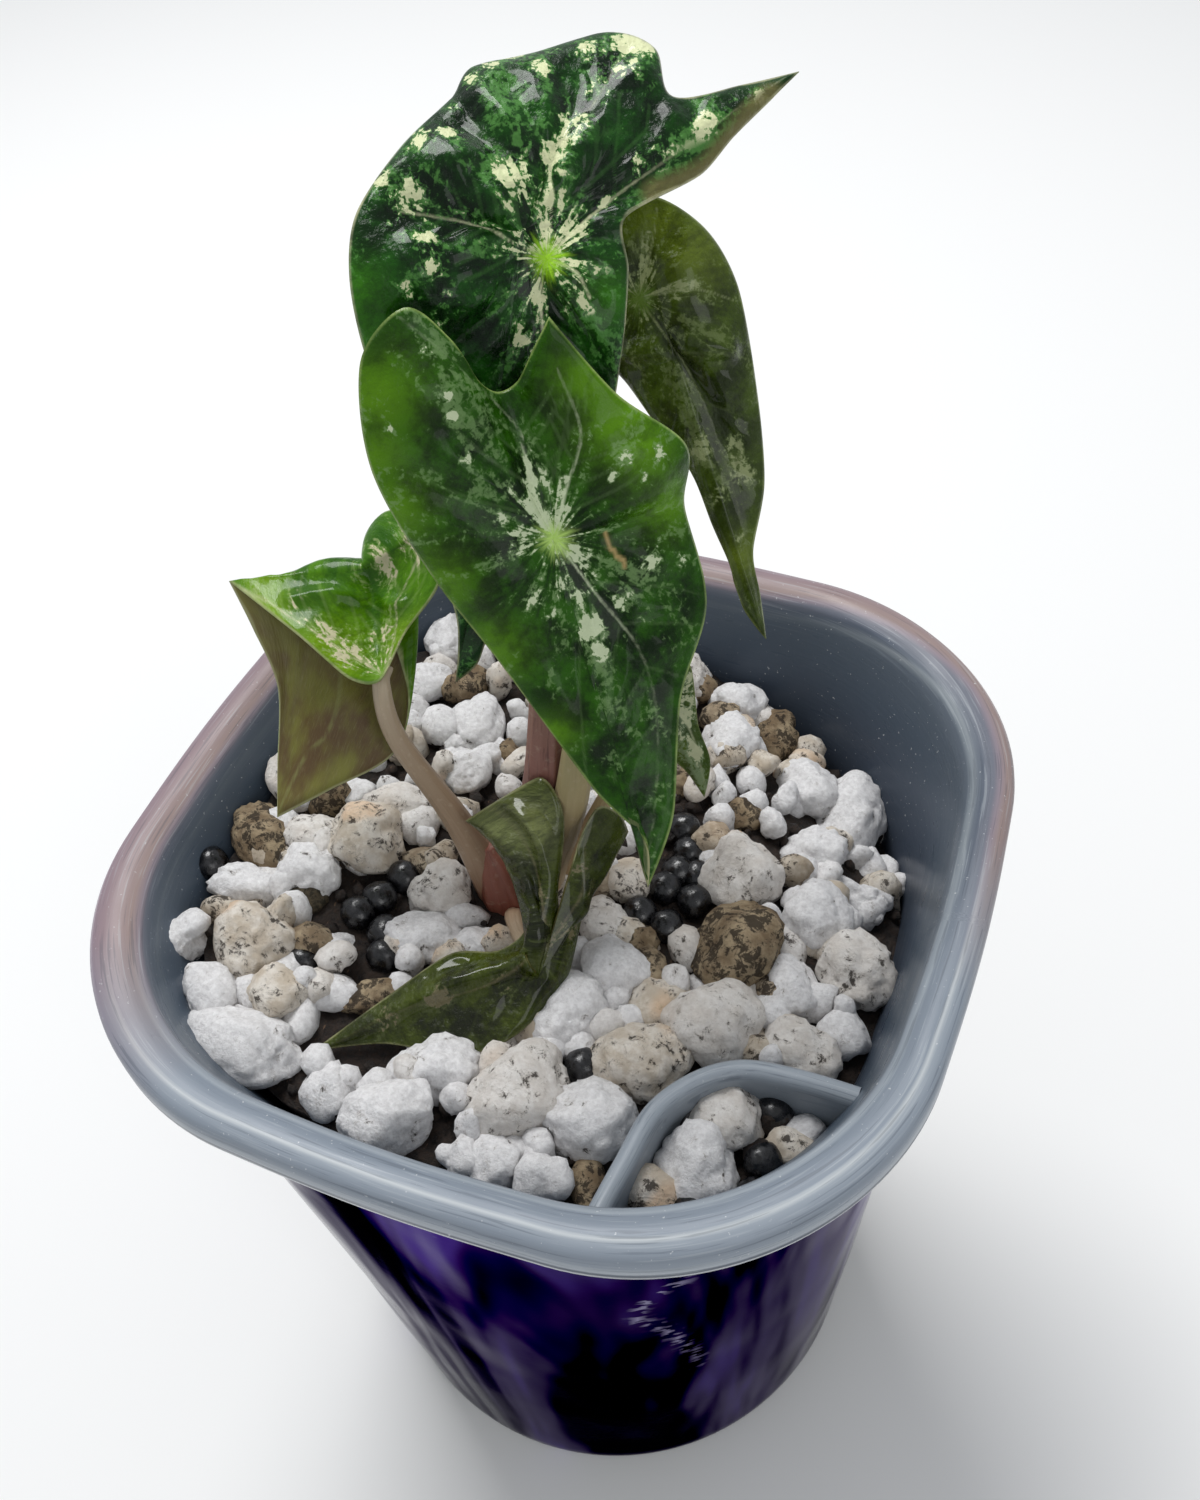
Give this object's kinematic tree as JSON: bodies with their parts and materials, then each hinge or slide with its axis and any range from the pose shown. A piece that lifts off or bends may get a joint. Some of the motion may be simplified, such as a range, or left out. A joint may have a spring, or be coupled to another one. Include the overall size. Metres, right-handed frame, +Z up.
{
  "type": "potted alocasia polly",
  "caption": "Young arrow-leaved aroid in a grainy mix, in a liner pot with a corner watering port inside a glossy outer pot.",
  "frame": {"origin": "middle of the outer pot's foot, on the surface that it stands on", "axes": "+Z up; the pot's flat sides face +X, -X, +Y and -Y, and its watering port is in the +X, -Y corner"},
  "size_m": [0.105, 0.105, 0.1973],
  "materials": {
    "metallised_purple": "mirror-like metallised gloss",
    "frosted_grey": "translucent frosted grey",
    "potting_mix": "dark damp potting mix",
    "perlite": "rough white to buff mineral grains",
    "sheath": "maroon-brown leaf sheaths",
    "stalk": "cream and pinkish beige stalk",
    "leaf": "satin green leaf with cream mottling"
  },
  "bodies": {
    "root": {"outer_pot": "metallised_purple", "liner_pot": "frosted_grey", "potting_bed": "potting_mix", "port_bed": "potting_mix", "perlite_grains": "perlite", "port_grains": "perlite", "crown": "sheath", "stalk_left": "stalk", "stalk_top": "stalk", "stalk_front": "stalk", "stalk_back": "stalk", "stalk_small": "stalk", "stalk_hidden": "stalk", "leaf_front": "leaf", "leaf_top": "leaf", "leaf_back": "leaf", "leaf_left": "leaf", "leaf_small": "leaf", "leaf_hidden": "leaf"}
  },
  "joints": []
}
